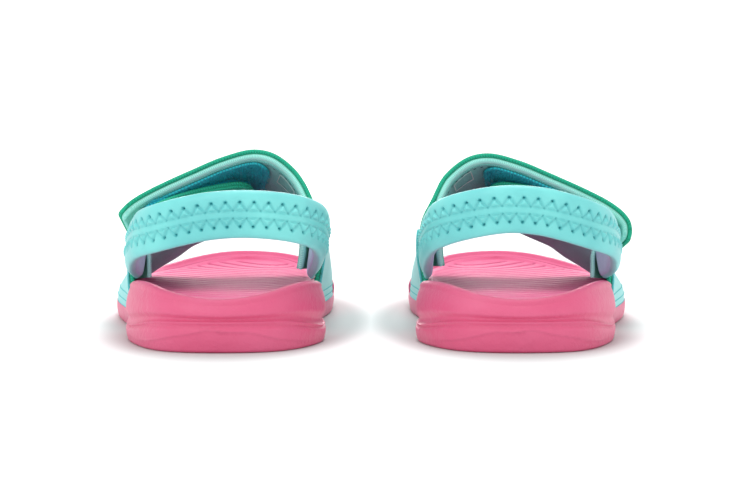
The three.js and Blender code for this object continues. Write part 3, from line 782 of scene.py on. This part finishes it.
# a layer of a sheet with rounded edges. spec: span of u, reach of v, inset from the edges, corner radius
# at the free end and roundStart at the other, depth of its middle below the sheet, and thickness
def layer(sheet, spec, counts=(150, 46)):
    nu, nv = counts
    length = 0.5 * (sheet.rear.length + sheet.front.length)
    u0, u1 = spec["span"]
    r = spec["thick"] / 2
    ends = np.array([0, 0.06, 0.25, 0.6, 1.0]) * r / length
    middle = np.linspace(u0 + r / length, u1 - r / length, nu)
    radius = spec["corner"]
    turn = u1 - np.geomspace(radius, r, 14) / length
    u = np.unique(np.round(np.concatenate([u0 + ends, middle, turn, u1 - ends]), 9))
    width = np.linalg.norm(sheet.front.at(u) - sheet.rear.at(u), axis=1)
    inset = spec["inset"] / width
    low, high = spec.get("reach", (0.0, 1.0))
    margin = cornerMargin((u1 - u) * length, radius, np.maximum(width, 2.02 * radius))
    if spec.get("roundStart"):
        startWidth = np.maximum(width, 2.02 * radius)
        margin = margin + cornerMargin((u - u0) * length, spec["roundStart"], startWidth)
    v0, v1 = low + inset + margin, high - inset - margin
    v1 = np.maximum(v1, v0 + 1e-4)
    metric = (v1 - v0) * width
    rounding = np.array([0, 0.06, 0.25, 0.6, 1.0])[None] * r / metric[:, None]
    edge = np.minimum(rounding, 0.2 * np.array([0, 0.2, 0.5, 0.8, 1]))
    inner = np.linspace(0, 1, nv)[None, 1:-1] * (1 - 2 * edge[:, -1:]) + edge[:, -1:]
    t = np.hstack([edge, inner, 1 - edge[:, ::-1]])
    uu = np.broadcast_to(u[:, None], t.shape)
    vv = v0[:, None] + (v1 - v0)[:, None] * t
    fromSide = np.minimum(t, 1 - t) * metric[:, None]
    fromEnd = np.minimum(uu - u0, u1 - uu) * length
    swell = roundedShare(fromSide / r) * roundedShare(fromEnd / r)
    depth = spec["depth"](uu, vv) if callable(spec["depth"]) else np.full(t.shape, spec["depth"])
    outer = sheet.at(uu, vv, -depth + swell * (spec["thick"] / 2))
    under = sheet.at(uu, vv, -depth - swell * spec["thick"] / 2)
    rows, columns = t.shape
    inside = np.arange((rows - 2) * (columns - 2)).reshape(rows - 2, columns - 2) + rows * columns
    back = np.arange(rows * columns).reshape(rows, columns)
    back[1:-1, 1:-1] = inside
    quads = gridQuads(rows, columns)
    reverse = back.ravel()[quads][:, ::-1]
    points = np.vstack([outer.reshape(-1, 3), under[1:-1, 1:-1].reshape(-1, 3)])
    uv = np.stack([uu * length / 10, vv * np.broadcast_to(width[:, None], t.shape) / 10], axis=-1)
    uv = np.vstack([uv.reshape(-1, 2), uv[1:-1, 1:-1].reshape(-1, 2)])
    quads = np.vstack([quads, reverse])
    if sheet.side < 0:
        quads = quads[:, ::-1]
    spanA, spanB = outer[1:, 1:] - outer[:-1, :-1], outer[1:, :-1] - outer[:-1, 1:]
    area = 0.5 * np.linalg.norm(np.cross(spanA, spanB), axis=-1).sum()
    facts = {"u": uu, "v": vv, "grid": (rows, columns), "length": length, "width": metric, "area": area}
    return points, quads, uv, facts


def jointBlend(piece, side, which):        # finds the piece's hinge and a span across it, but bends nothing; it only bakes the piece's transform
    joint = next(j for j in frame["joints"] if j["name"] == f"{side}_{which}")
    hinge = np.array(joint["pos_m"])
    line = unit(np.array(joint["axis"]))
    inwardX = -1 if hinge[0] > 0 else 1
    if which == "flap_open":
        inwardX = -inwardX if abs(hinge[0]) < axisX * mm else inwardX
    across = np.array([inwardX * 0.65, 0, 0.76])
    across -= line * (across @ line)
    across = unit(across)
    half = across * (band["jointReach"] * mm)
    tuple(hinge - half)
    tuple(hinge + half)
    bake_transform(piece)


def declareSheet(facts):        # works out the flat size, measured on the sheet itself, and does nothing with it
    flat = (float(facts["width"].max()) * mm, float(np.ptp(facts["u"]) * facts["length"]) * mm)


def bandPiece(name, side, sheet, spec, material, slotName, nodes, which):
    points, quads, uv, facts = layer(sheet, spec)
    piece = meshPiece(name, side, points, quads, material, uv=uv)
    if slotName == "padding":
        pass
    else:
        declareSheet(facts)
    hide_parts(*[f"{side}_{n}" for n in nodes])
    jointBlend(piece, side, which)
    return piece, facts


def makeFilm(side, sheet, sideName, top):        # welded film with its textured border and stitch rows
    b = band
    film = {"span": (0.0, top), "inset": 1.5, "corner": 3, "depth": b["overlay"] / 2, "thick": b["overlay"]}
    points, quads, uv, facts = layer(sheet, film)
    length = sheet.rear.length
    fromRear = (facts["v"] * (b["front"] - b["rear"])) - film["inset"]
    fromFront = (1 - facts["v"]) * (b["front"] - b["rear"]) - film["inset"]
    wave = 0.35 * np.sin(facts["u"] * length * 1.1)
    rearWidth, frontWidth = b["filmBorder"]
    border = (fromRear < rearWidth + wave) | (fromFront < frontWidth + wave)
    textured = (border[:-1, :-1] & border[1:, 1:]).ravel()
    piece = meshPiece(f"{sideName}_film", side, points, quads, "filmTurquoise", uv=uv,
                      faceMaterial=np.concatenate([textured, textured]), extra=["filmBorder"])
    declareSheet(facts)
    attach(piece, f"{side}_base")
    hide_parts(f"{side}_{sideName}_overlay")
    v = np.linspace(0.045, 0.955, 120)
    rows = [sheet.at(np.full_like(v, height / length), v, np.zeros_like(v)) for height in b["filmRows"]]
    piece = stitchRow(f"{sideName}_film_stitches", side, rows, "stitch", "threadCyan", b["filmPitch"])
    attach(piece, f"{side}_base")


def makeBand(side):
    b = band
    flap, tab = bandSheets(side)
    straps = {        # sheet, split, side, moving nodes, joint, corner radius, end of the span
        "flap": (flap, b["flapSplit"], "medial", "instep_flap", "flap_open", b["corner"], 1.0),
        "tab": (tab, b["tabSplit"], "lateral", "lateral_tab", "tab_spread", b["tabRadius"], 0.999),
    }
    for key, (sheet, split, sideName, moving, which, corner, end) in straps.items():
        under = lambda u, v, s=split: b["shell"] / 2 + overlayDepth(u, s)
        spec = {"span": (0, end), "inset": 0, "corner": corner, "depth": under, "thick": b["shell"]}
        nodes = [f"{sideName}_quarter_shell", f"{moving}_shell"]
        bandPiece(f"{key}_textile", side, sheet, spec, "emeraldWeave", "band_textile", nodes, which)
        seat = 0.12 if key == "flap" else 0.16
        thick = b["padding"] if key == "flap" else b["tabPadding"]
        padAt = b["shell"] + thick / 2 - 0.1
        padded = lambda u, v, s=split, d=padAt: d + overlayDepth(u, s) + pocketAt(u, v, s)
        foams = [f"{sideName}_quarter_foam"] + ([f"{moving}_foam"] if key == "flap" else [])
        spec = {"span": (seat, end - 0.004), "inset": 0.4, "corner": corner - 0.5, "depth": padded,
                "thick": thick}
        piece, facts = bandPiece(f"{key}_padding", side, sheet, spec, "mintEdge", "padding", foams, which)
        if key == "tab":        # the tab's free end is bound in the outer textile
            piece.data.materials.append(finishes["emeraldWeave"])
            bound = (facts["u"][:-1, :-1] > 0.5).ravel().astype(int)
            bothFaces = np.concatenate([bound, bound])[:len(piece.data.polygons)]
            piece.data.polygons.foreach_set("material_index", bothFaces)
        lineAt = padAt + thick / 2 + 0.02
        lined = lambda u, v, s=split, d=lineAt: d + overlayDepth(u, s) + pocketAt(u, v, s)
        color = "tealLining" if key == "flap" else "grayLining"
        spec = {"span": (seat, end - 0.03), "inset": 1.9, "corner": corner, "depth": lined,
                "thick": b["lining"]}
        nodes = [f"{sideName}_quarter_lining", f"{moving}_lining"]
        bandPiece(f"{key}_lining", side, sheet, spec, color, "band_lining", nodes, which)
        filmEnd = b["flapFilmEnd"] if key == "flap" else b["overlayEnd"]
        makeFilm(side, sheet, sideName, split * filmEnd - 0.004)
        u = np.linspace(0.2 if key == "flap" else 0.24, end - 0.09, 160)
        margin = 3.9 / np.linalg.norm(sheet.front.at(u) - sheet.rear.at(u), axis=1)
        under = lineAt + 0.36 + overlayDepth(u, split) + pocketAt(u, margin, split)
        rows = [sheet.at(u, margin, -under)]
        piece = stitchRow(f"{key}_lining_stitches", side, rows, "slit", "threadDark", b["liningPitch"])
        jointBlend(piece, side, which)
    makeTapes(side, flap, tab)
    makeLabel(side, flap)


tapes = {        # the hook tape's pile stands on its under face, the loop tape's on its outer one
    "hook_pad": {
        "on": "flap", "finish": "hookTeal", "slot": "hook_tape", "body": "instep_flap",
        "node": "flap_hook_pad",
        "layer": {"span": (0.5, 0.965), "reach": (0.038, 0.8), "corner": 8, "roundStart": 9, "inset": 0,
                  "depth": band["shell"] + band["padding"] + 0.95, "thick": 1.0},
        "shape": "hook", "outside": False,
        "pile": {"Density": 3.0e6, "Spacing": 0.62 * mm, "Seed": 3, "Lean": 0.35},
    },
    "loop_pad": {
        "on": "tab", "finish": "loopCyan", "slot": "loop_tape", "body": "lateral_tab", "node": "tab_loop_pad",
        "layer": {"span": (0.5, 0.985), "corner": band["tabRadius"] - 1, "inset": 1.6, "depth": -0.45,
                  "thick": 1.0},
        "shape": "loop", "outside": True,
        "pile": {"Density": 4.0e6, "Spacing": 0.55 * mm, "Seed": 5, "Lean": 0.9},
    },
}


def makeTapes(side, flap, tab):
    for name, t in tapes.items():
        points, quads, uv, facts = layer(flap if t["on"] == "flap" else tab, t["layer"], (90, 40))
        piece = meshPiece(name, side, points, quads, t["finish"], uv=uv)
        rows, columns = facts["grid"]
        isOuter = np.arange(len(points)) < rows * columns
        grow = (isOuter == t["outside"]).astype(np.float32)
        piece.data.attributes.new("grow", "FLOAT", "POINT").data.foreach_set("value", grow)
        values = {**t["pile"], "Shape": tinyShapes[t["shape"]], "Finish": finishes[t["finish"]]}
        grown(piece, trees["pile"], values)
        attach(piece, f"{side}_{t['body']}")
        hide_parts(f"{side}_{t['node']}")


label = {"half": (5.0, 5.2), "centre": (0.425, 0.145), "line": 0.36, "raise": 0.12}        # centre in u and v


def makeLabel(side, flap):        # plain rectangular outline printed on the lining, with nothing in it
    depth = band["shell"] + band["padding"] + 0.75
    length = flap.rear.length
    tall, wide = label["half"]
    corners = [(tall, wide), (tall, -wide), (-tall, -wide), (-tall, wide)]

    def ringAt(scale):
        made = []
        for (a0, b0), (a1, b1) in zip(corners, corners[1:] + corners[:1]):
            for t in np.linspace(0, 1, 12, endpoint=False):
                made.append((a0 + (a1 - a0) * t, b0 + (b1 - b0) * t))
        return np.array(made) * scale

    def place(ring, offset):
        u = label["centre"][0] + ring[:, 0] / length
        width = np.linalg.norm(flap.front.at(u) - flap.rear.at(u), axis=1)
        return flap.at(u, label["centre"][1] + ring[:, 1] / width, np.full(len(u), -offset))

    outer, inner = ringAt(1.0), ringAt(1 - label["line"] / tall)
    top = depth + label["raise"]
    loops = [place(outer, depth), place(inner, depth), place(inner, top), place(outer, top)]
    points = np.stack(loops, axis=1)
    rows = len(points)
    index = np.arange(rows * 4).reshape(rows, 4)
    ahead, turned = np.roll(index, -1, axis=0), np.roll(index, -1, axis=1)
    both = np.roll(turned, -1, axis=0)
    quads = np.stack([index, turned, both, ahead], axis=-1).reshape(-1, 4)
    piece = meshPiece("size_label", side, points.reshape(-1, 3), quads, "labelPrint")
    jointBlend(piece, side, "flap_open")


for side in sides:
    makeBand(side)
print("bands made")


strap = {
    "height": 15.0, "thick": 4.6, "endMiddle": 30.5, "pivot": 56.6, "pitch": 4.15, "rowHeight": 2.55,
    "band": 1.2, "pitDepth": 1.1, "raise": 0.6, "line": 0.42, "liningInset": 1.1,
    "medialLean": {"right": 0.04, "left": -0.14}, "lateralLean": -0.12, "capLength": 1.6,
    "blendReach": 7.0, "count": 640,
}
strapLines = {        # middle of the strap from the medial pocket round the heel to the lateral one
    "right": [
        (-27.6, 67, 24.6), (-28, 58, 26.6), (-28.6, 49, 29), (-28.8, 38, 32.2), (-28, 27, 35.6),
        (-26, 17, 38.7), (-20.5, 9, 41.6), (-12, 4.8, 43.8), (-4, 3.4, 44.8), (6, 3.9, 44.1),
        (15, 6, 41.9), (22.5, 11, 39.3), (28, 19, 36.9), (31, 29, 34.4), (32.4, 39, 31.7),
        (33.1, 49, 29), (32.8, 58, 26.8), (31.4, 67, 24.8),
    ],
    "left": [
        (-27.6, 67, 24.6), (-28.2, 58, 26.4), (-29.3, 49, 28.7), (-30.6, 38, 32), (-31.1, 28, 35.4),
        (-29.6, 18, 38.6), (-24.4, 9.5, 41.2), (-16, 4.8, 42.8), (-6, 3.4, 43.3), (4, 3.9, 42.5),
        (13, 6, 40.6), (20.5, 10.5, 38.4), (26, 18, 36.3), (29, 28, 33.8), (30.8, 38, 31.3),
        (31.8, 48, 28.9), (32, 58, 26.7), (31.4, 67, 24.8),
    ],
}


def embossing(along, h):        # two rows of raised triangles with pits, back to back about a smooth band, with painted shade for their grooves and pits
    s = strap
    height = np.zeros_like(h)
    dark = np.zeros_like(h)
    a = np.mod(along + s["pitch"] / 2, s["pitch"]) - s["pitch"] / 2
    for direction in (1, -1):
        rise = direction * h - s["band"]
        share = rise / s["rowHeight"]
        half = (s["pitch"] / 2 - 0.2) * (1 - share)
        slant = s["rowHeight"] / math.hypot(s["rowHeight"], s["pitch"] / 2)
        toSide = (half - np.abs(a)) * slant
        within = (share > -0.05) & (share < 1.08)
        inside = np.minimum(toSide, rise)
        height += s["raise"] * ease(inside / 0.95) * within
        groove = np.exp(-((toSide + 0.12) / 0.4) ** 2) * within
        base = np.exp(-((rise + 0.05) / 0.36) ** 2) * (0.75 + 0.25 * np.cos(math.tau * a / s["pitch"]))
        apex = np.exp(-((a / 0.42) ** 2 + ((rise - s["rowHeight"] - 0.1) / 0.42) ** 2))
        joint = np.exp(-(((np.abs(a) - s["pitch"] / 2) / 0.34) ** 2 + (rise / 0.34) ** 2))
        height -= s["line"] * np.maximum(groove, 0.8 * base) + s["pitDepth"] * apex + 0.45 * joint
        # painted shade in the grooves, along the base lines, in the pits and at the joints
        dark = np.maximum.reduce([dark, 0.24 * groove, 0.2 * base, apex, 0.5 * joint])
    return height, np.clip(dark, 0, 1)


def capQuads(rows, columns):        # closes both ends of a wrapped grid
    caps = []
    for base, flip in ((0, False), ((rows - 1) * columns, True)):
        for k in range(columns // 2 - 1):
            quad = [base + k, base + columns - 1 - k, base + columns - 2 - k, base + k + 1]
            caps.append(quad[::-1] if flip else quad)
    return caps


def makeStrap(side):
    s = strap
    path = Path(strapLines[side])
    ends = np.array([0, 0.1, 0.4, 0.9, s["capLength"]]) / path.length
    even = np.linspace(ends[-1], 1 - ends[-1], s["count"])
    share = np.unique(np.round(np.concatenate([ends, even, 1 - ends]), 9))
    place = path.at(share)
    tangent = unit(path.at(share + 0.002) - path.at(share - 0.002))
    lean = np.where(place[:, 0] < 0, s["medialLean"][side], s["lateralLean"])
    flare = lean * ease((place[:, 1] - 6) / 20)
    up = np.stack([flare, np.zeros(len(share)), np.ones(len(share))], axis=1)
    up = unit(up - tangent * np.sum(up * tangent, axis=1, keepdims=True))
    out = np.cross(tangent, up)
    capped = roundedShare(np.minimum(share, 1 - share) * path.length / s["capLength"])
    half = s["height"] / 2
    front = np.linspace(-1, 1, 76)
    h = half * np.sign(front) * (1 - (1 - np.abs(front)) ** 1.25)
    round_ = (1 - np.abs(h / half) ** 3.4) ** (1 / 2.0)
    backShare = np.linspace(1, -1, 24)[1:-1]
    hBack = half * backShare
    backRound = (1 - np.abs(backShare) ** 4) ** (1 / 2.4)
    along = (share - 0.5) * path.length
    relief, dark = embossing(along[:, None], np.broadcast_to(h[None], (len(share), len(h))))
    thin = 1 - 0.28 * ease((place[:, 1] - 48) / 12)
    padded = (s["thick"] / 2 * round_)[None] * thin[:, None]
    outerOffset = padded + relief * ease((half - np.abs(h)) / 2)[None]
    innerOffset = (-s["thick"] / 2 * backRound)[None] * thin[:, None]
    offset = np.hstack([outerOffset, innerOffset])
    offset = offset * capped[:, None]
    heights = np.concatenate([h, hBack])[None] * (0.9 + 0.1 * capped[:, None])
    points = place[:, None] + out[:, None] * offset[..., None] + up[:, None] * heights[..., None]
    rows, columns = offset.shape
    quads = gridQuads(rows, columns, wrap=True)
    allQuads = np.vstack([quads, capQuads(rows, columns)])[:, ::-1]
    # painted shade of the embossing on the outer face, none on the back
    shade = np.hstack([dark, np.zeros((rows, len(hBack)))]).ravel()
    uv = np.stack(np.broadcast_arrays(along[:, None] / 10, heights / 10), axis=-1)
    piece = meshPiece("heel_strap", side, points.reshape(-1, 3), allQuads, "strapTurquoise",
                      uv=uv.reshape(-1, 2), relief=shade)
    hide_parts(f"{side}_heel_strap_cover", f"{side}_heel_strap_foam")
    blendStrap(piece)
    # lining on the inner face
    inset = np.linspace(-1, 1, 22)
    hl = (half - s["liningInset"]) * inset
    edgeRound = np.sqrt(np.clip(1 - inset ** 8, 0, 1))
    keep = (share > 0.004) & (share < 0.996)
    base = place[keep][:, None] + up[keep][:, None] * hl[None, :, None]
    thinKeep = thin[keep][:, None, None]
    inner = -s["thick"] / 2 * ((1 - np.abs(hl / half) ** 4) ** (1 / 2.4))
    near = base + out[keep][:, None] * (inner[None, :, None] + 0.25) * thinKeep
    far = base + out[keep][:, None] * (inner[None, :, None] - 0.45 * edgeRound[None, :, None]) * thinKeep
    loop = np.concatenate([far, near[:, ::-1]], axis=1)
    rows, columns = loop.shape[:2]
    allQuads = np.vstack([gridQuads(rows, columns, wrap=True), capQuads(rows, columns)])
    acrossKeep = np.concatenate([hl, hl[::-1]])[None] / 10
    uv = np.stack(np.broadcast_arrays(along[keep][:, None] / 10, acrossKeep), axis=-1)
    piece = meshPiece("strap_inner_face", side, loop.reshape(-1, 3), allQuads, "strapLining",
                      uv=uv.reshape(-1, 2))
    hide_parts(f"{side}_heel_strap_lining")
    blendStrap(piece)


def blendStrap(piece):
    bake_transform(piece)


for side in sides:
    makeStrap(side)
print("heel straps made")


def makeStudio():
    floor = bpy.data.meshes.new("floor")
    reach = 9.0
    corners = [(-reach, -reach, 0), (reach, -reach, 0), (reach, reach, 0), (-reach, reach, 0)]
    floor.from_pydata(corners, [], [(0, 1, 2, 3)])
    material, maker, shader = newMaterial("floorWhite", 0.9)
    shader.inputs["Base Color"].default_value = (0.6, 0.6, 0.6, 1)
    shader.inputs["Emission Strength"].default_value = 1.0
    away = maker.node("ShaderNodeVectorMath", {"operation": "LENGTH"}, [objectPlace(maker)], "Value")
    across = maker.node("ShaderNodeSeparateXYZ", {}, {"Vector": objectPlace(maker)}, "X")
    along = maker.node("ShaderNodeSeparateXYZ", {}, {"Vector": objectPlace(maker)}, "Y")
    # painted contact shadow: the glow is left out near each sole's outline so the grey floor stays darker
    # there, and further out it lifts the floor to white
    aside = (across.calc("ABSOLUTE") - axisX * mm) / 0.04
    around = aside * aside + (along / 0.101) * (along / 0.101)        # 1 near a sole's outline
    glow = around.band(1.0, 1.6) * 0.36 + away.band(0.25, 1.1) * 0.4
    maker.feed(shader.inputs["Emission Color"], maker.node("ShaderNodeCombineColor", {}, [glow, glow, glow]))
    floor.materials.append(material)
    piece = bpy.data.objects.new("floor", floor)
    bpy.context.collection.objects.link(piece)
    world = bpy.data.worlds.new("studio")
    bpy.context.scene.world = world
    world.use_nodes = True
    background = world.node_tree.nodes["Background"]
    maker = Maker(world.node_tree)
    direction = maker.node("ShaderNodeTexCoord", {}, {}, "Generated")
    apart = maker.node("ShaderNodeSeparateXYZ", {}, {"Vector": direction}, "Z")
    shade = 1.15 - apart.band(0.2, 0.7) * 0.45        # white round the horizon, dimmer overhead
    maker.feed(background.inputs["Color"], maker.node("ShaderNodeCombineColor", {}, [shade, shade, shade]))
    lights = {        # name: place, aim, size, power
        "top": ((0.05, 0.0, 1.1), (0, 0, 0), 0.5, 5.0),
        "key": ((-0.5, -0.8, 0.8), (0, 0, 0.03), 0.4, 2.0),
        "front": ((0.0, 1.1, 0.42), (0, 0, 0.02), 0.6, 4.5),
    }
    for name, (place, aim, size, power) in lights.items():
        data = bpy.data.lights.new(name, "AREA")
        data.size = size
        data.energy = power
        light = bpy.data.objects.new(name, data)
        light.location = place
        direction = np.array(aim) - np.array(place)
        flat = math.hypot(direction[0], direction[1])
        heading = math.atan2(direction[1], direction[0]) - math.pi / 2
        light.rotation_euler = (math.atan2(flat, -direction[2]), 0, heading)
        bpy.context.collection.objects.link(light)
    bpy.context.scene.view_settings.view_transform = "Standard"


makeStudio()
print("studio ready")
